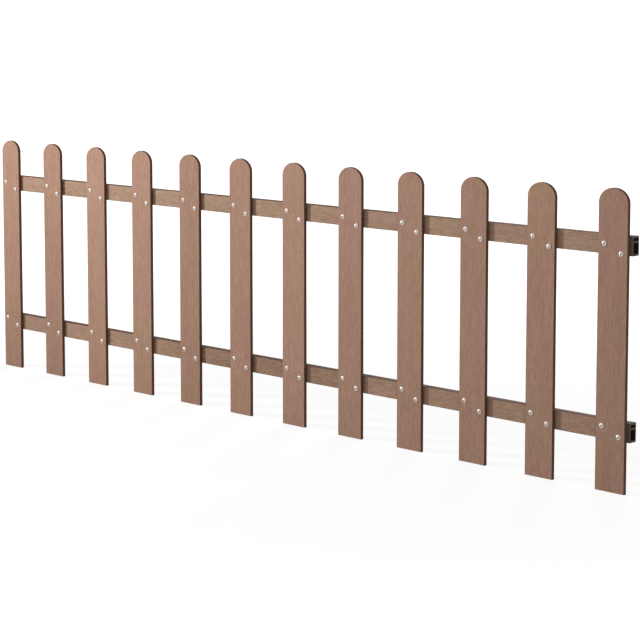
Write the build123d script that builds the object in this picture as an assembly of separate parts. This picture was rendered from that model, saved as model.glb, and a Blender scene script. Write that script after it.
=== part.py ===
from build123d import *

import os
from math import asin, cos, sin

# A composite garden fence panel: round-topped pickets screwed to two hollow rails with moulded end caps.
# Millimetres. X runs along the panel, Y from the front to the back and Z up. The origin is on the flat
# outer face of the lower left end cap, in the middle of its cross rib.

# Panel
PANEL_LENGTH = 2000.0
PICKET_COUNT = 12

# Pickets
PICKET_HEIGHT = 600.0
PICKET_WIDTH = 70.0
PICKET_THICKNESS = 8.0
PICKET_TOP_RISE = 29.0
PICKET_EDGE_RADIUS = 1.5

# Rails, with their centre lines measured up from the pickets' feet
RAIL_HEIGHT = 39.0
RAIL_DEPTH = 20.0
RAIL_WALL = 3.5
RAIL_EDGE_RADIUS = 1.5
LOWER_RAIL_CENTRE = 122.0
UPPER_RAIL_CENTRE = 488.5

# End caps: a head as large as the rail, part of which shows beyond the last picket, and a plug in the
# rail's bore that stops short of the nearest screw
CAP_HEAD = 12.0
CAP_SHOW = 7.0
CAP_CHAMFER = 0.6
CAP_SIDE_WALL = 1.5
CAP_END_WALL = 4.0
CAP_SHOULDER = 2.0
CAP_SCREW_GAP = 1.8
CAP_PLUG_CLEARANCE = 0.2
CAP_PLUG_WALL = 2.0
CAP_WEB = 3.0
CAP_RIB = 4.0
CAP_RIB_RISE = 8.0
CAP_HOLE_RADIUS = 2.5

# Screws: two on the diagonal of each crossing
SCREW_INSET = 15.0
SCREW_SPREAD = 17.5
LOWER_SCREW_SHIFT = -1.0
UPPER_SCREW_SHIFT = -7.0
SCREW_SHANK_RADIUS = 2.0
SCREW_LENGTH = 18.0
SCREW_TIP = 4.0
SCREW_HEAD_RADIUS = 5.5
SCREW_HEAD_HEIGHT = 2.7
SCREW_HEAD_RIM = 0.8
SCREW_HOLE_CLEARANCE = 0.2
RECESS_LENGTH = 5.2
RECESS_WIDTH = 1.6
RECESS_DEPTH = 1.6
RECESS_TURN = 37.0

# Places worked out from the sizes
ORIGIN_HEIGHT = LOWER_RAIL_CENTRE + CAP_RIB_RISE
FOOT_Z = -ORIGIN_HEIGHT
RAIL_FRONT_Y = -RAIL_DEPTH / 2
PICKET_FRONT_Y = RAIL_FRONT_Y - PICKET_THICKNESS
RAIL_LENGTH = PANEL_LENGTH - 2 * CAP_HEAD
FIRST_PICKET_X = CAP_SHOW + PICKET_WIDTH / 2
LAST_PICKET_X = PANEL_LENGTH - FIRST_PICKET_X
PICKET_PITCH = (LAST_PICKET_X - FIRST_PICKET_X) / (PICKET_COUNT - 1)
PICKET_CENTRES = [FIRST_PICKET_X + PICKET_PITCH * i for i in range(PICKET_COUNT)]
RAIL_Z = {"lower": FOOT_Z + LOWER_RAIL_CENTRE, "upper": FOOT_Z + UPPER_RAIL_CENTRE}
SCREW_SHIFT = {"lower": LOWER_SCREW_SHIFT, "upper": UPPER_SCREW_SHIFT}
RAIL_BORE_DEPTH = RAIL_DEPTH - 2 * RAIL_WALL
RAIL_BORE_HEIGHT = RAIL_HEIGHT - 2 * RAIL_WALL
HALF_SCREW_SPAN = PICKET_WIDTH / 2 - SCREW_INSET
SCREW_BORE_RADIUS = SCREW_SHANK_RADIUS + SCREW_HOLE_CLEARANCE
FIRST_SCREW_X = FIRST_PICKET_X - HALF_SCREW_SPAN
CAP_LENGTH = FIRST_SCREW_X - SCREW_BORE_RADIUS - CAP_SCREW_GAP


def crossing_screws(picket_x, level):
    """The two screw points where a picket crosses a rail, on the picket's front face."""
    middle = RAIL_Z[level] + SCREW_SHIFT[level]
    upper_left = (picket_x - HALF_SCREW_SPAN, PICKET_FRONT_Y, middle + SCREW_SPREAD / 2)
    lower_right = (picket_x + HALF_SCREW_SPAN, PICKET_FRONT_Y, middle - SCREW_SPREAD / 2)
    return [upper_left, lower_right]


def picket_places(picket_x):
    """All the screw points of one picket."""
    return [place for level in RAIL_Z for place in crossing_screws(picket_x, level)]


def screw_bore(place):
    """The clearance hole that one screw takes through the picket and the rail's front wall."""
    length = SCREW_LENGTH + SCREW_HOLE_CLEARANCE
    bore = Cylinder(SCREW_BORE_RADIUS, length, align=(Align.CENTER, Align.CENTER, Align.MIN))
    return Pos(*place) * Rot(X=-90) * bore


def picket(centre_x):
    """A flat board with an elliptical top, a square-cut foot and lightly eased long edges."""
    half = PICKET_WIDTH / 2
    shoulder = PICKET_HEIGHT - PICKET_TOP_RISE
    with BuildSketch(Plane.XZ) as outline:
        with BuildLine():
            Polyline((-half, shoulder), (-half, 0), (half, 0), (half, shoulder))
            EllipticalCenterArc((0, shoulder), half, PICKET_TOP_RISE, arc_size=180)
        make_face()
    board = extrude(outline.sketch, amount=PICKET_THICKNESS)
    faces = board.faces().filter_by(Axis.Y)
    eased = faces.edges().filter_by(lambda edge: edge.center().Z > PICKET_EDGE_RADIUS)
    board = fillet(eased, PICKET_EDGE_RADIUS)
    board = Pos(centre_x, RAIL_FRONT_Y, FOOT_Z) * board
    for place in picket_places(centre_x):
        board -= screw_bore(place)
    return board


def rail(level):
    """A hollow rectangular rail behind the pickets, with a pilot hole for each screw."""
    outside = Box(RAIL_LENGTH, RAIL_DEPTH, RAIL_HEIGHT)
    outside = fillet(outside.edges().filter_by(Axis.X), RAIL_EDGE_RADIUS)
    tube = outside - Box(RAIL_LENGTH, RAIL_BORE_DEPTH, RAIL_BORE_HEIGHT)
    tube = Pos(PANEL_LENGTH / 2, 0, RAIL_Z[level]) * tube
    for centre_x in PICKET_CENTRES:
        for place in crossing_screws(centre_x, level):
            tube -= screw_bore(place)
    return tube


def end_cap(level, side):
    """A moulded head and plug, with two pockets, a cross rib between them and a post screw hole."""
    from_outer_face = (Align.MIN, Align.CENTER, Align.CENTER)
    head = Box(CAP_HEAD, RAIL_DEPTH, RAIL_HEIGHT, align=from_outer_face)
    outer_face = head.faces().sort_by(Axis.X)[0]
    head = chamfer(outer_face.edges(), CAP_CHAMFER)
    plug_depth = RAIL_BORE_DEPTH - 2 * CAP_PLUG_CLEARANCE
    plug_height = RAIL_BORE_HEIGHT - 2 * CAP_PLUG_CLEARANCE
    cap = head + Box(CAP_LENGTH, plug_depth, plug_height, align=from_outer_face)

    rib_top = CAP_RIB_RISE + CAP_RIB / 2
    rib_foot = CAP_RIB_RISE - CAP_RIB / 2
    plug_top = plug_height / 2 - CAP_PLUG_WALL
    steps = [
        (CAP_HEAD - CAP_SHOULDER, RAIL_DEPTH - 2 * CAP_SIDE_WALL, RAIL_HEIGHT / 2 - CAP_END_WALL),
        (CAP_LENGTH - CAP_WEB, plug_depth - 2 * CAP_PLUG_WALL, plug_top),
    ]
    for length, depth, top in steps:
        for low, high in ((rib_top, top), (-top, rib_foot)):
            pocket = Box(length, depth, high - low, align=from_outer_face)
            cap -= Pos(0, 0, (low + high) / 2) * pocket
    hole_z = (rib_foot - plug_top) / 2
    hole = Cylinder(CAP_HOLE_RADIUS, CAP_LENGTH, align=(Align.CENTER, Align.CENTER, Align.MIN))
    cap -= Pos(0, 0, hole_z) * Rot(Y=90) * hole
    if side == "right":
        cap = Pos(PANEL_LENGTH, 0, 0) * Rot(Z=180) * cap
    return Pos(0, 0, RAIL_Z[level]) * cap


def screw():
    """A pan-head screw with a cross recess, its head bearing at the origin and its point towards +Y."""
    dome_rise = SCREW_HEAD_HEIGHT - SCREW_HEAD_RIM
    dome_radius = (SCREW_HEAD_RADIUS**2 + dome_rise**2) / (2 * dome_rise)
    half_angle = asin(SCREW_HEAD_RADIUS / dome_radius) / 2
    crown = (0, -SCREW_HEAD_HEIGHT)
    shoulder = (dome_radius * sin(half_angle), dome_radius * (1 - cos(half_angle)) - SCREW_HEAD_HEIGHT)
    rim = (SCREW_HEAD_RADIUS, -SCREW_HEAD_RIM)
    with BuildSketch() as profile:
        with BuildLine():
            ThreePointArc(crown, shoulder, rim)
            Polyline(
                rim,
                (SCREW_HEAD_RADIUS, 0),
                (SCREW_SHANK_RADIUS, 0),
                (SCREW_SHANK_RADIUS, SCREW_LENGTH - SCREW_TIP),
                (0, SCREW_LENGTH),
                crown,
            )
        make_face()
    body = revolve(profile.sketch, Axis.Y)
    slot_align = (Align.CENTER, Align.MIN, Align.CENTER)
    slot = Box(RECESS_LENGTH, RECESS_DEPTH, RECESS_WIDTH, align=slot_align)
    recess = slot + Rot(Y=90) * slot
    return body - Pos(0, -SCREW_HEAD_HEIGHT, 0) * recess


def picket_screws(centre_x, pattern):
    """The separate screws of one picket, each stopped at its own turn."""
    placed = []
    for number, place in enumerate(picket_places(centre_x)):
        placed.append(Pos(*place) * Rot(Y=RECESS_TURN * number) * pattern)
    return Compound(children=placed)


def main():
    os.makedirs("parts", exist_ok=True)
    pattern = screw()
    for number, centre_x in enumerate(PICKET_CENTRES, start=1):
        export_step(picket(centre_x), f"parts/picket_{number:02d}.step")
        export_step(picket_screws(centre_x, pattern), f"parts/picket_screws_{number:02d}.step")
    for level in RAIL_Z:
        export_step(rail(level), f"parts/{level}_rail.step")
        for side in ("left", "right"):
            export_step(end_cap(level, side), f"parts/{level}_{side}_end_cap.step")


main()
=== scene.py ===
from math import radians

import bmesh
import bpy
from bpy.props import FloatProperty, FloatVectorProperty, IntProperty, PointerProperty
from bpy.types import Operator, Panel, PropertyGroup
from mathutils import Matrix, Vector


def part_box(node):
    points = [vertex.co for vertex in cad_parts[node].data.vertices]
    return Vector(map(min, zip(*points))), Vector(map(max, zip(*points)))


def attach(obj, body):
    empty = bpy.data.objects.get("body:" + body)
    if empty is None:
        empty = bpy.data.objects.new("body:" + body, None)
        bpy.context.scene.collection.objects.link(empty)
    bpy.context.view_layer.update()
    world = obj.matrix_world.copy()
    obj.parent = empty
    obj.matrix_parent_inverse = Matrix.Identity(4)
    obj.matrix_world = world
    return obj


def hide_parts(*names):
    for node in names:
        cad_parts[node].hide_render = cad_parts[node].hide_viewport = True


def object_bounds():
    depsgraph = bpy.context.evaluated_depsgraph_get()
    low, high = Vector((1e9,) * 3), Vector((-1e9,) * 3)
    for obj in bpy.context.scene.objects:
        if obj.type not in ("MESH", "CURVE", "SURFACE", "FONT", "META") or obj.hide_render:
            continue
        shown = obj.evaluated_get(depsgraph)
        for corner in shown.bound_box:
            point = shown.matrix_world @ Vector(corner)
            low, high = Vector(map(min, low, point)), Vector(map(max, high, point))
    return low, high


bl_info = {
    "name": "Composite picket fence panel",
    "version": (1, 0, 0),
    "blender": (4, 5, 0),
    "location": "3D View > Sidebar > Fence",
    "description": "Models and finishes the boards, rails, end caps and screws of a picket fence panel",
    "category": "Object",
}

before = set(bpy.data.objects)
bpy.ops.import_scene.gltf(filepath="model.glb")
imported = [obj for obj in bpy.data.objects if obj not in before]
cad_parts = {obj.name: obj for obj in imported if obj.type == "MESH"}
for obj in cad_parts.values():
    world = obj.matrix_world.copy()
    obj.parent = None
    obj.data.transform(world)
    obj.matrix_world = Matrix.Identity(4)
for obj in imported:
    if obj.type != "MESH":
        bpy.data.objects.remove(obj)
CAD_LOW, CAD_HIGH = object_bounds()

# Pieces of the frame
BODY = "root"
PICKETS = sorted(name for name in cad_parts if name.startswith("picket_") and "screws" not in name)
SCREWS = sorted(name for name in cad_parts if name.startswith("picket_screws_"))
RAILS = sorted(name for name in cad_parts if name.endswith("_rail"))
END_CAPS = sorted(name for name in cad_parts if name.endswith("_end_cap"))


def box_centre(node):
    """The middle of a node's box."""
    low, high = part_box(node)
    return (low + high) / 2


# Places in metres: X along the panel, Y from front to back, Z up
MIDDLE = (CAD_LOW + CAD_HIGH) / 2
PICKET_LOW, PICKET_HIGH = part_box(PICKETS[0])
PICKET_WIDTH = PICKET_HIGH.x - PICKET_LOW.x
PICKET_FRONT_Y = PICKET_LOW.y
FOOT_Z = PICKET_LOW.z
FIRST_PICKET_X = box_centre(PICKETS[0]).x
PICKET_PITCH = (box_centre(PICKETS[-1]).x - FIRST_PICKET_X) / (len(PICKETS) - 1)
RAIL_LOW, RAIL_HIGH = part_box(RAILS[0])
RAIL_FRONT_Y = RAIL_LOW.y
RAIL_HALF = (RAIL_HIGH - RAIL_LOW) / 2
RAIL_HEIGHTS = [box_centre(node).z for node in RAILS]
RAIL_MIDDLE = sum(RAIL_HEIGHTS) / 2
SCREW_RIM = 0.0008
SCREW_RIM_Y = PICKET_FRONT_Y - SCREW_RIM
SCREW_CROWN_Y = CAD_LOW.y

# Soft edges that are added to the frame's own nodes
WELD_DISTANCE = 0.00001
SOFT_EDGE_STEPS = 3
SHARP_ANGLE = radians(35)

# Noise in the composite: cycles a metre across and along the fibres, detail and roughness
SWAY = (14, 6, 1.0, 0.5)
CAST = (26, 9, 2.0, 0.5)
BANDS = (55, 6, 2.0, 0.5)
STREAKS = (290, 42, 3.0, 0.6)
LINES = (1300, 90, 2.0, 0.5)
FLECKS = (620, 130, 1.0, 0.5)

# How the composite's noise is used
SWAY_REACH = 0.012
CAST_RANGE = (0.35, 0.65)
FLECK_RANGE = (0.64, 0.74)
FLECK_SHARE = 0.3
BAND_SHARE = 0.3
STREAK_SHARE = 0.85
LINE_SHARE = 0.8
DARK_SIDES = 0.8
STREAK_HEIGHT = 0.6
LINE_HEIGHT = 0.4
FLECK_PIT = 0.15
FLECK_GLOSS = 0.05
GRAIN_BUMP = 0.35
GRAIN_HEIGHT = 0.0006

# Gloss of the finishes
ROUGHNESS_SWING = 0.2
COMPOSITE_ROUGHNESS = 0.7
COMPOSITE_SPECULAR = 0.05
MOULDING_ROUGHNESS = 0.68
MOULDING_SPECULAR = 0.04
ZINC_ROUGHNESS = 0.46
ZINC_METALLIC = 0.6
RECESS_ROUGHER = 0.3
RECESS_LESS_METALLIC = 0.4

# How squarely a face looks forwards or back where its brushed skin begins and is whole
PICKET_SKIN = (0.72, 0.99)
RAIL_SKIN = (0.6, 0.97)
PICKET_CONTRAST = 1.0
RAIL_CONTRAST = 1.6
BOARD_GRAIN_STEP = 3.7

# Painted shade on the rails' fronts in the corners beside the boards, and darkening along the middle of the
# lower one
CORNER_SHADE_REACH = (0.002, 0.009)
CORNER_SHADE_TONE = 0.22
SKIN_DEPTH = 0.001
DARK_STRETCH_X = MIDDLE.x - 0.05
DARK_STRETCH = (0.1, 0.48)
DARK_STRETCH_TONE = 0.32
BELOW_MIDDLE = (0.0, 0.01)

# End cap finish: cycles a metre, and how far inside the outer faces the painted shade turns the pockets
# black
MOULD_GRAIN = 2600
MOULD_GRAIN_BUMP = 0.2
MOULD_GRAIN_HEIGHT = 0.0002
BLOOM = 110
BLOOM_GAIN = 1.4
POCKET_FROM_END = (0.0004, 0.0025)
POCKET_FROM_SIDE = (0.0008, 0.0014)
POCKET_FROM_TOP = (0.002, 0.0035)

# Screw finish: cycles a metre, and what counts as the inside of a recess, where shade is painted
CLOUD = 420
DULL_ZINC = 0.75
RECESS_FLOOR_FACING = (0.96, 0.98)
RECESS_FLOOR_DEPTH = (0.0009, 0.0011)
RECESS_WALL_FACING = (0.2, 0.3)
RECESS_WALL_RISE = (0.0001, 0.0003)

# Floor, lamps and camera
WHITE = (1.0, 1.0, 1.0, 1.0)
FLOOR_SIZE = 40.0
FLOOR_GLOW = 1.3
FLOOR_PALE = (0.8, 0.8, 0.8, 1.0)
FLOOR_BOUNCE = (0.5, 0.5, 0.5, 1.0)
NEAR_GLOW = 0.62
SHADOW_FADE = (0.8, 2.0)
SHADOW_STRETCH = 0.7
OVERHEAD_RISE = (0.3, 0.8)
FULL_SPREAD = radians(180)
SENSOR_WIDTH = 36.0


def screen_colour(red, green, blue):
    """The linear colour of 0 to 255 screen values."""
    shares = [value / 255 for value in (red, green, blue)]
    return tuple(s / 12.92 if s <= 0.04045 else ((s + 0.055) / 1.055) ** 2.4 for s in shares)


def colour_setting(name, description, screen):
    """A colour setting whose default is given in screen values."""
    return FloatVectorProperty(
        name=name,
        description=description,
        subtype="COLOR",
        size=3,
        min=0.0,
        max=1.0,
        default=screen_colour(*screen),
    )


def length_setting(name, description, default):
    """A length setting in metres."""
    return FloatProperty(
        name=name, description=description, default=default, min=0.0, unit="LENGTH", precision=4
    )


def angle_setting(name, description, degrees):
    """An angle setting whose default is given in degrees."""
    return FloatProperty(name=name, description=description, subtype="ANGLE", default=radians(degrees))


def power_setting(name, description, default):
    """A lamp's power in watts."""
    return FloatProperty(name=name, description=description, unit="POWER", default=default)


def place_setting(name, description, default):
    """A place setting in metres."""
    return FloatVectorProperty(
        name=name, description=description, subtype="XYZ", unit="LENGTH", size=3, default=default
    )


class FenceSizes(PropertyGroup):
    """Sizes of the modelled boards and rails that the frame's boxes don't give."""

    top_rise: length_setting("Top rise", "Height of a picket's rounded top above its shoulders", 0.029)
    picket_edge: length_setting("Picket edge", "Radius of a picket's eased long edges", 0.0015)
    rail_edge: length_setting("Rail edge", "Radius of a rail's long edges", 0.0015)
    rail_wall: length_setting("Rail wall", "Wall thickness of the hollow rails", 0.0035)
    moulding_edge: length_setting("Moulding edge", "Softness of the end caps' edges", 0.00022)
    screw_edge: length_setting("Screw edge", "Softness of the screws' edges", 0.00015)
    top_steps: IntProperty(
        name="Top steps", description="Straight steps in a rounded top", default=48, min=8
    )
    edge_steps: IntProperty(
        name="Edge steps", description="Faces across an eased edge", default=4, min=1
    )


class FenceColours(PropertyGroup):
    """Colours of the finishes, and how far the boards differ."""

    picket_dark: colour_setting("Picket dark", "Darker fibres of the pickets", (141, 107, 89))
    picket_light: colour_setting("Picket light", "Lighter fibres of the pickets", (194, 153, 136))
    picket_olive: colour_setting("Picket olive", "Lighter fibres where they turn olive", (191, 156, 131))
    picket_variation: FloatProperty(
        name="Picket variation", description="How much the pickets differ in shade", default=0.16, min=0.0
    )
    rail_dark: colour_setting("Rail dark", "Darker fibres of the rails", (140, 110, 89))
    rail_light: colour_setting("Rail light", "Lighter fibres of the rails", (192, 157, 138))
    rail_olive: colour_setting("Rail olive", "Lighter fibres where they turn olive", (189, 161, 135))
    sawn: colour_setting("Sawn sides", "Dark smooth sides and edges of the boards", (112, 82, 67))
    moulding: colour_setting("Moulding", "Weathered outside of the moulded end caps", (100, 87, 77))
    # Painted shade that turns the end caps' pockets black
    pocket_shade: colour_setting("Pocket", "Unfaded black in the end caps' pockets", (56, 49, 45))
    zinc: colour_setting("Zinc", "Bright plated screws", (214, 206, 198))
    # Painted shade inside the screws' recesses
    shaded_recess: colour_setting("Recess", "Dark inside of the screws' recesses", (180, 172, 162))


class FenceStage(PropertyGroup):
    """The camera and the light."""

    camera_place: place_setting("Camera place", "Where the camera stands", (4.0926, -3.0537, 0.8132))
    camera_azimuth: angle_setting("Camera azimuth", "Turn from the panel's normal", 43.904)
    camera_tilt: angle_setting("Camera tilt", "How far the camera looks down", 5.714)
    camera_shift: FloatProperty(
        name="Camera shift",
        description="Vertical lens shift that sets the pickets more upright",
        default=-0.1875,
    )
    lens: FloatProperty(
        name="Lens", description="Focal length on a 36 mm sensor", default=107.3, unit="CAMERA"
    )
    key_place: place_setting("Key place", "Where the key light stands", (-1.76, -1.75, 0.8))
    key_aim: place_setting("Key aim", "Where the key light points", (2.13, 0.0, 2.0))
    key_size: length_setting("Key size", "Width of the key light", 0.45)
    key_spread: angle_setting("Key spread", "Cone of the key light", 98.4)
    key_power: power_setting("Key power", "Power of the key light", 48.0)
    back_place: place_setting("Back place", "Where the back light stands", (-0.6, 3.6, 1.1))
    back_aim: place_setting("Back aim", "Where the back light points", (1.0, 0.0, 0.2))
    back_size: length_setting("Back size", "Width of the back light", 1.2)
    back_power: power_setting("Back power", "Power of the back light", 50.0)
    ambient: FloatProperty(name="Ambient", description="Strength of the light from all round", default=0.75)
    overhead: FloatProperty(
        name="Overhead", description="Share of the light from all round that comes from above", default=0.45
    )


class Value:
    """A node's output that Python arithmetic turns into Math nodes."""

    def __init__(self, nodes, socket):
        self.nodes = nodes
        self.socket = socket

    def out(self, key):
        """Another output of the same node."""
        return Value(self.nodes, self.socket.node.outputs[key])

    def math(self, operation, *values):
        """One Math node on these values."""
        return self.nodes.node("ShaderNodeMath", {"operation": operation}, dict(enumerate(values)))

    def __add__(self, other):
        return self.math("ADD", self, other)

    def __sub__(self, other):
        return self.math("SUBTRACT", self, other)

    def __rsub__(self, other):
        return self.math("SUBTRACT", other, self)

    def __mul__(self, other):
        return self.math("MULTIPLY", self, other)

    def __truediv__(self, other):
        return self.math("DIVIDE", self, other)

    def __abs__(self):
        return self.math("ABSOLUTE", self)

    __radd__ = __add__
    __rmul__ = __mul__

    def whole(self):
        """The whole number below."""
        return self.math("FLOOR", self)

    def largest(self, other):
        """The larger of two values."""
        return self.math("MAXIMUM", self, other)

    def swing(self):
        """How far a noise lies from its middle."""
        return self - 0.5

    def band(self, low, high):
        """A smooth step from 0 at low to 1 at high."""
        settings = {"interpolation_type": "SMOOTHSTEP"}
        inputs = {"Value": self, "From Min": low, "From Max": high}
        return self.nodes.node("ShaderNodeMapRange", settings, inputs)


def opaque(colour):
    """A colour with full alpha, or a link as it is."""
    if isinstance(colour, Value):
        return colour
    return (*colour[:3], 1.0)


class Nodes:
    """A node tree that is written as expressions."""

    def __init__(self, tree):
        self.tree = tree

    def fill(self, node, inputs):
        """Sets or links a node's sockets."""
        for key, value in inputs.items():
            if isinstance(value, Value):
                self.tree.links.new(value.socket, node.inputs[key])
            else:
                node.inputs[key].default_value = value

    def node(self, kind, settings=None, inputs=None, output=0):
        """Adds a node, sets it up, feeds its sockets and gives one of its outputs."""
        node = self.tree.nodes.new(kind)
        for key, value in (settings or {}).items():
            setattr(node, key, value)
        self.fill(node, inputs or {})
        return Value(self, node.outputs[output])

    def place(self):
        """The X, Y and Z of a point on the object."""
        coordinates = self.node("ShaderNodeTexCoord", output="Object")
        x = self.node("ShaderNodeSeparateXYZ", inputs={0: coordinates})
        return x, x.out("Y"), x.out("Z")

    def facing(self, axis):
        """How squarely a surface faces along an axis, either way."""
        normal = self.node("ShaderNodeTexCoord", output="Normal")
        return abs(self.node("ShaderNodeSeparateXYZ", inputs={0: normal}, output=axis))

    def noise(self, x, y, z, detail=2.0, roughness=0.5):
        """Noise on coordinates that are already scaled."""
        vector = self.node("ShaderNodeCombineXYZ", inputs={0: x, 1: y, 2: z})
        inputs = {"Vector": vector, "Scale": 1.0, "Detail": detail, "Roughness": roughness}
        return self.node("ShaderNodeTexNoise", inputs=inputs)

    def fibres(self, layer, across, depth, along):
        """Noise that is drawn out along the fibres."""
        fine, coarse, detail, roughness = layer
        return self.noise(across * fine, depth * fine, along * coarse, detail, roughness)

    def mix(self, factor, first, second):
        """Two colours mixed."""
        inputs = {0: factor, 6: opaque(first), 7: opaque(second)}
        return self.node("ShaderNodeMix", {"data_type": "RGBA"}, inputs, output=2)

    def bump(self, height, strength, distance):
        """A bumped normal."""
        inputs = {"Height": height, "Strength": strength, "Distance": distance}
        return self.node("ShaderNodeBump", inputs=inputs)

    def looked_at(self):
        """1 for what the camera, a gloss or a glass shows, and 0 for soft bounced light."""
        path = self.node("ShaderNodeLightPath")
        shown = path.out("Is Camera Ray").largest(path.out("Is Glossy Ray"))
        return shown.largest(path.out("Is Transmission Ray"))

    def finish(self, shader, output):
        """Makes a shader the tree's result."""
        self.tree.links.new(shader.socket, self.tree.nodes[output].inputs["Surface"])


class Finish(Nodes):
    """A material under construction."""

    def __init__(self, name):
        self.material = bpy.data.materials.new(name)
        self.material.use_nodes = True
        super().__init__(self.material.node_tree)

    def surface(self, inputs):
        """Feeds the sockets of the material's own shader."""
        self.fill(self.tree.nodes["Principled BSDF"], inputs)
        return self.material


def composite(finish, shades, sawn, across, depth, along, skin, tone, contrast):
    """Brushed wood-plastic composite: fibres along one direction, and smooth darker sides and edges."""
    dark, light, olive = shades
    sway = finish.fibres(SWAY, across, depth, along)
    across = across + sway.swing() * SWAY_REACH
    cast = finish.fibres(CAST, across, depth, along).band(*CAST_RANGE)
    bands = finish.fibres(BANDS, across, depth, along)
    streaks = finish.fibres(STREAKS, across, depth, along)
    lines = finish.fibres(LINES, across, depth, along)
    flecks = finish.fibres(FLECKS, across, depth, along).band(*FLECK_RANGE)
    fibres = bands.swing() * BAND_SHARE + streaks.swing() * STREAK_SHARE + lines.swing() * LINE_SHARE
    lightness = 0.5 + fibres * contrast + tone
    brushed = finish.mix(lightness, dark, finish.mix(cast, light, olive))
    brushed = finish.mix(flecks * FLECK_SHARE, brushed, sawn)
    sides = finish.mix(lightness, [channel * DARK_SIDES for channel in sawn], sawn)
    height = streaks * STREAK_HEIGHT + lines * LINE_HEIGHT - flecks * FLECK_PIT
    return finish.surface({
        "Base Color": finish.mix(skin, sides, brushed),
        "Roughness": COMPOSITE_ROUGHNESS + lines.swing() * ROUGHNESS_SWING - flecks * FLECK_GLOSS,
        "Specular IOR Level": COMPOSITE_SPECULAR,
        "Normal": finish.bump(height * skin, GRAIN_BUMP, GRAIN_HEIGHT),
    })


def picket_finish(colours):
    """The upright boards' finish: each board has its own shade and its own run of fibres."""
    finish = Finish("picket_composite")
    x, y, z = finish.place()
    number = ((x - FIRST_PICKET_X) / PICKET_PITCH + 0.5).whole()
    shade = finish.node("ShaderNodeTexWhiteNoise", {"noise_dimensions": "1D"}, {"W": number})
    skin = finish.facing("Y").band(*PICKET_SKIN)
    tone = shade.swing() * colours.picket_variation
    along = z + number * BOARD_GRAIN_STEP
    shades = (colours.picket_dark, colours.picket_light, colours.picket_olive)
    return composite(finish, shades, colours.sawn, x, y, along, skin, tone, PICKET_CONTRAST)


def rail_finish(colours):
    """The rails' finish, with its fibres running lengthwise, painted shade beside the boards and the lower
    rail darker along its middle.
    """
    finish = Finish("rail_composite")
    x, y, z = finish.place()
    skin = finish.facing("Y").band(*RAIL_SKIN)
    board = (x - FIRST_PICKET_X) / PICKET_PITCH + 0.5
    off_board = abs(board - board.whole() - 0.5) * PICKET_PITCH - PICKET_WIDTH / 2
    front = (RAIL_FRONT_Y + SKIN_DEPTH - y).band(0.0, SKIN_DEPTH)
    # Painted shade where the rails' fronts meet the boards' sides
    corner_shade = (1 - off_board.band(*CORNER_SHADE_REACH)) * front
    lower = (MIDDLE.z - z).band(*BELOW_MIDDLE)
    darker = (1 - abs(x - DARK_STRETCH_X).band(*DARK_STRETCH)) * lower
    tone = corner_shade * -CORNER_SHADE_TONE - darker * DARK_STRETCH_TONE
    shades = (colours.rail_dark, colours.rail_light, colours.rail_olive)
    return composite(finish, shades, colours.sawn, z, y, x, skin, tone, RAIL_CONTRAST)


def moulding_finish(colours):
    """Moulded plastic, weathered outside, with painted shade that turns its pockets black, a fine grain and
    a faint bloom.
    """
    finish = Finish("black_moulding")
    x, y, z = finish.place()
    from_end = MIDDLE.x - CAD_LOW.x - abs(x - MIDDLE.x)
    from_side = RAIL_HALF.y - abs(y)
    from_top = RAIL_HALF.z - abs(abs(z - RAIL_MIDDLE) - abs(RAIL_HEIGHTS[0] - RAIL_MIDDLE))
    # Painted shade: black inside the end caps' pockets
    inside = from_end.band(*POCKET_FROM_END) * from_side.band(*POCKET_FROM_SIDE)
    pocket_shade = inside * from_top.band(*POCKET_FROM_TOP)
    grain = finish.noise(x * MOULD_GRAIN, y * MOULD_GRAIN, z * MOULD_GRAIN)
    bloom = finish.noise(x * BLOOM, y * BLOOM, z * BLOOM, detail=3.0)
    faded = [channel * BLOOM_GAIN for channel in colours.moulding]
    outside = finish.mix(bloom, colours.moulding, faded)
    return finish.surface({
        "Base Color": finish.mix(pocket_shade, outside, colours.pocket_shade),
        "Roughness": MOULDING_ROUGHNESS + bloom.swing() * ROUGHNESS_SWING,
        "Specular IOR Level": MOULDING_SPECULAR,
        "Normal": finish.bump(grain, MOULD_GRAIN_BUMP, MOULD_GRAIN_HEIGHT),
    })


def zinc_finish(colours):
    """Bright zinc plating, a little cloudy, with painted shade darkening its recesses."""
    finish = Finish("zinc_plate")
    x, y, z = finish.place()
    cloud = finish.noise(x * CLOUD, y * CLOUD, z * CLOUD, detail=3.0)
    flat = finish.facing("Y").band(*RECESS_FLOOR_FACING)
    below_crown = (y - SCREW_CROWN_Y).band(*RECESS_FLOOR_DEPTH)
    above_rim = (SCREW_RIM_Y - y).band(*RECESS_WALL_RISE)
    upright = 1 - finish.facing("Y").band(*RECESS_WALL_FACING)
    # Painted shade in the screws' recesses, which are also duller and rougher
    shaded_recess = (flat * below_crown).largest(upright * above_rim)
    dull = [channel * DULL_ZINC for channel in colours.zinc]
    plating = finish.mix(cloud, dull, colours.zinc)
    return finish.surface({
        "Base Color": finish.mix(shaded_recess, plating, colours.shaded_recess),
        "Metallic": ZINC_METALLIC - shaded_recess * RECESS_LESS_METALLIC,
        "Roughness": ZINC_ROUGHNESS + cloud.swing() * ROUGHNESS_SWING + shaded_recess * RECESS_ROUGHER,
    })


def mesh_piece(name, bm, material, node):
    """Makes an object of a finished bmesh, which stands for one node of the frame."""
    for face in bm.faces:
        face.smooth = True
    mesh = bpy.data.meshes.new(name)
    bm.to_mesh(mesh)
    bm.free()
    mesh.materials.append(material)
    piece = bpy.data.objects.new(name, mesh)
    bpy.context.scene.collection.objects.link(piece)
    piece.modifiers.new("Weighted normals", "WEIGHTED_NORMAL")
    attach(piece, BODY)
    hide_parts(node)


def ease(bm, edges, radius, steps):
    """Rounds some edges."""
    bmesh.ops.bevel(
        bm,
        geom=edges,
        offset=radius,
        offset_type="OFFSET",
        affect="EDGES",
        segments=steps,
        profile=0.5,
        material=-1,
    )


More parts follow.
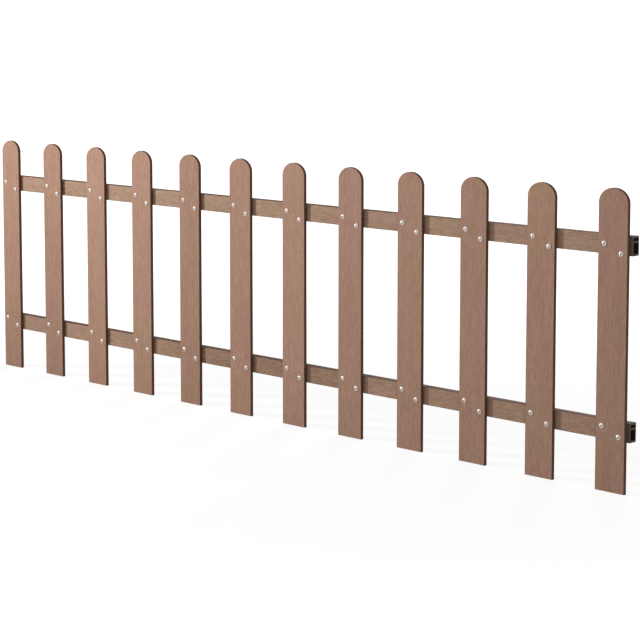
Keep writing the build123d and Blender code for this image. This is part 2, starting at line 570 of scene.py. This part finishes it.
def picket_mesh(low, high, sizes):
    """A board with an elliptical top: a shoulder spun half round and flattened, drawn down and thickened."""
    half = (high.x - low.x) / 2
    centre = Vector((low.x + half, low.y, high.z - sizes.top_rise))
    bm = bmesh.new()
    right = bm.verts.new((high.x, low.y, centre.z))
    turn = radians(-180)
    arc = bmesh.ops.spin(bm, geom=[right], cent=centre, axis=(0, 1, 0), angle=turn, steps=sizes.top_steps)
    left = arc["geom_last"][0]
    flatten = (1, 1, sizes.top_rise / half)
    bmesh.ops.scale(bm, vec=flatten, space=Matrix.Translation(-centre), verts=bm.verts[:])
    feet = []
    for shoulder in (right, left):
        foot = bmesh.ops.extrude_vert_indiv(bm, verts=[shoulder])["verts"][0]
        bmesh.ops.translate(bm, verts=[foot], vec=(0, 0, low.z - foot.co.z))
        feet.append(foot)
    foot_edge = bm.edges.new(feet)
    rim = [edge for edge in bm.edges if edge is not foot_edge]
    front = bmesh.ops.edgeloop_fill(bm, edges=bm.edges[:])["faces"]
    thick = bmesh.ops.extrude_face_region(bm, geom=front, use_keep_orig=True)["geom"]
    moved = [item for item in thick if isinstance(item, bmesh.types.BMVert)]
    bmesh.ops.translate(bm, verts=moved, vec=(0, high.y - low.y, 0))
    bmesh.ops.recalc_face_normals(bm, faces=bm.faces[:])
    back_edges = [item for item in thick if isinstance(item, bmesh.types.BMEdge)]
    above_foot = low.z + sizes.picket_edge
    rim += [edge for edge in back_edges if max(vert.co.z for vert in edge.verts) > above_foot]
    ease(bm, rim, sizes.picket_edge, sizes.edge_steps)
    return bm


def rail_mesh(low, high, sizes):
    """A hollow rail: a long box with both ends opened, joined inside, and its long edges rounded."""
    bm = bmesh.new()
    size = high - low
    place = Matrix.Translation((low + high) / 2) @ Matrix.Diagonal((*size, 1))
    bmesh.ops.create_cube(bm, size=1, matrix=place)
    long_edges = [edge for edge in bm.edges if edge.calc_length() > size.x / 2]
    ends = [face for face in bm.faces if abs(face.normal.x) > 0.5]
    bmesh.ops.inset_region(bm, faces=ends, thickness=sizes.rail_wall, use_even_offset=True)
    bmesh.ops.delete(bm, geom=ends, context="FACES_ONLY")
    mouths = [edge for edge in bm.edges if edge.is_boundary]
    bmesh.ops.bridge_loops(bm, edges=mouths)
    bmesh.ops.recalc_face_normals(bm, faces=bm.faces[:])
    ease(bm, long_edges, sizes.rail_edge, sizes.edge_steps)
    return bm


def dress(names, material, edge):
    """Gives nodes of the frame a finish and takes the sharpness off their edges."""
    for name in names:
        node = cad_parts[name]
        for slot in node.material_slots:
            slot.material = material
        weld = node.modifiers.new("Join triangles", "WELD")
        weld.merge_threshold = WELD_DISTANCE
        bevel = node.modifiers.new("Soft edges", "BEVEL")
        bevel.width = edge
        bevel.segments = SOFT_EDGE_STEPS
        bevel.limit_method = "ANGLE"
        bevel.angle_limit = SHARP_ANGLE
        bevel.harden_normals = True


class FENCE_OT_pickets(Operator):
    """Model the upright boards"""

    bl_idname = "fence.pickets"
    bl_label = "Pickets"

    def execute(self, context):
        material = picket_finish(context.scene.fence_colours)
        for number, node in enumerate(PICKETS, start=1):
            bm = picket_mesh(*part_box(node), context.scene.fence_sizes)
            mesh_piece(f"picket_board_{number:02d}", bm, material, node)
        return {"FINISHED"}


class FENCE_OT_rails(Operator):
    """Model the hollow rails"""

    bl_idname = "fence.rails"
    bl_label = "Rails"

    def execute(self, context):
        material = rail_finish(context.scene.fence_colours)
        for node in RAILS:
            bm = rail_mesh(*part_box(node), context.scene.fence_sizes)
            mesh_piece(f"{node}_tube", bm, material, node)
        return {"FINISHED"}


class FENCE_OT_end_caps(Operator):
    """Finish the moulded end caps"""

    bl_idname = "fence.end_caps"
    bl_label = "End caps"

    def execute(self, context):
        material = moulding_finish(context.scene.fence_colours)
        dress(END_CAPS, material, context.scene.fence_sizes.moulding_edge)
        return {"FINISHED"}


class FENCE_OT_screws(Operator):
    """Finish the screws"""

    bl_idname = "fence.screws"
    bl_label = "Screws"

    def execute(self, context):
        material = zinc_finish(context.scene.fence_colours)
        dress(SCREWS, material, context.scene.fence_sizes.screw_edge)
        return {"FINISHED"}


def floor_finish():
    """A floor that looks white, keeps the panel's shadow near it and bounces a softer light."""
    finish = Finish("studio_floor")
    x, y, _ = finish.place()
    off_centre = {0: (x - MIDDLE.x) * SHADOW_STRETCH, 1: y - MIDDLE.y}
    vector = finish.node("ShaderNodeCombineXYZ", inputs=off_centre)
    distance = finish.node("ShaderNodeVectorMath", {"operation": "LENGTH"}, {0: vector}, output="Value")
    glow = finish.node("ShaderNodeEmission", inputs={"Color": WHITE, "Strength": FLOOR_GLOW})
    pale = finish.node("ShaderNodeBsdfDiffuse", inputs={"Color": FLOOR_PALE})
    bounce = finish.node("ShaderNodeBsdfDiffuse", inputs={"Color": FLOOR_BOUNCE})
    share = NEAR_GLOW + distance.band(*SHADOW_FADE) * (1 - NEAR_GLOW)
    shown = finish.node("ShaderNodeMixShader", inputs={0: share, 1: pale, 2: glow})
    mixed = finish.node("ShaderNodeMixShader", inputs={0: finish.looked_at(), 1: bounce, 2: shown})
    finish.finish(mixed, "Material Output")
    return finish.material


def studio_floor():
    """A wide pale floor at the pickets' feet."""
    bm = bmesh.new()
    place = Matrix.Translation((0, 0, FOOT_Z))
    bmesh.ops.create_grid(bm, x_segments=1, y_segments=1, size=FLOOR_SIZE, matrix=place)
    mesh = bpy.data.meshes.new("floor")
    bm.to_mesh(mesh)
    bm.free()
    mesh.materials.append(floor_finish())
    floor = bpy.data.objects.new("floor", mesh)
    bpy.context.scene.collection.objects.link(floor)


def area_light(name, place, aim, size, power, spread=FULL_SPREAD):
    """A square lamp that points at a place."""
    lamp = bpy.data.lights.new(name, "AREA")
    lamp.shape = "SQUARE"
    lamp.size = size
    lamp.energy = power
    lamp.spread = spread
    light = bpy.data.objects.new(name, lamp)
    light.location = place
    light.rotation_euler = (Vector(aim) - Vector(place)).to_track_quat("-Z", "Y").to_euler()
    bpy.context.scene.collection.objects.link(light)


def studio_world(ambient, overhead):
    """Soft light for the object that is dimmer from above, and white behind it."""
    world = bpy.data.worlds.new("studio")
    world.use_nodes = True
    nodes = Nodes(world.node_tree)
    direction = nodes.node("ShaderNodeTexCoord", output="Generated")
    rise = nodes.node("ShaderNodeSeparateXYZ", inputs={0: direction}, output="Z")
    level = ambient * (1 - rise.band(*OVERHEAD_RISE) * (1 - overhead))
    dim = nodes.node("ShaderNodeBackground", inputs={"Color": WHITE, "Strength": level})
    white = nodes.node("ShaderNodeBackground", inputs={"Color": WHITE, "Strength": 1.0})
    mixed = nodes.node("ShaderNodeMixShader", inputs={0: nodes.looked_at(), 1: dim, 2: white})
    nodes.finish(mixed, "World Output")
    bpy.context.scene.world = world


def photo_camera(stage):
    """The camera at the photograph's viewing angle."""
    lens = bpy.data.cameras.new("camera")
    lens.lens = stage.lens
    lens.sensor_width = SENSOR_WIDTH
    lens.shift_y = stage.camera_shift
    camera = bpy.data.objects.new("camera", lens)
    camera.location = stage.camera_place
    camera.rotation_euler = (radians(90) - stage.camera_tilt, 0.0, stage.camera_azimuth)
    bpy.context.scene.collection.objects.link(camera)
    bpy.context.scene.camera = camera


class FENCE_OT_stage(Operator):
    """Set up the floor, the light and the camera"""

    bl_idname = "fence.stage"
    bl_label = "Stage"

    def execute(self, context):
        stage = context.scene.fence_stage
        studio_floor()
        studio_world(stage.ambient, stage.overhead)
        area_light("key", stage.key_place, stage.key_aim, stage.key_size, stage.key_power, stage.key_spread)
        area_light("back", stage.back_place, stage.back_aim, stage.back_size, stage.back_power)
        photo_camera(stage)
        context.scene.view_settings.view_transform = "Standard"
        return {"FINISHED"}


STEPS = (FENCE_OT_pickets, FENCE_OT_rails, FENCE_OT_end_caps, FENCE_OT_screws, FENCE_OT_stage)


class VIEW3D_PT_fence(Panel):
    """The fence panel's settings and steps"""

    bl_label = "Picket fence panel"
    bl_space_type = "VIEW_3D"
    bl_region_type = "UI"
    bl_category = "Fence"

    def draw(self, context):
        for settings in (context.scene.fence_sizes, context.scene.fence_colours, context.scene.fence_stage):
            box = self.layout.box()
            for name in settings.__annotations__:
                box.prop(settings, name)
        for step in STEPS:
            self.layout.operator(step.bl_idname)


CLASSES = (FenceSizes, FenceColours, FenceStage, *STEPS, VIEW3D_PT_fence)


def register():
    for item in CLASSES:
        bpy.utils.register_class(item)
    bpy.types.Scene.fence_sizes = PointerProperty(type=FenceSizes)
    bpy.types.Scene.fence_colours = PointerProperty(type=FenceColours)
    bpy.types.Scene.fence_stage = PointerProperty(type=FenceStage)


def unregister():
    del bpy.types.Scene.fence_stage
    del bpy.types.Scene.fence_colours
    del bpy.types.Scene.fence_sizes
    for item in reversed(CLASSES):
        bpy.utils.unregister_class(item)


def main():
    register()
    bpy.ops.fence.pickets()
    bpy.ops.fence.rails()
    bpy.ops.fence.end_caps()
    bpy.ops.fence.screws()
    bpy.ops.fence.stage()


if __name__ == "__main__":
    main()
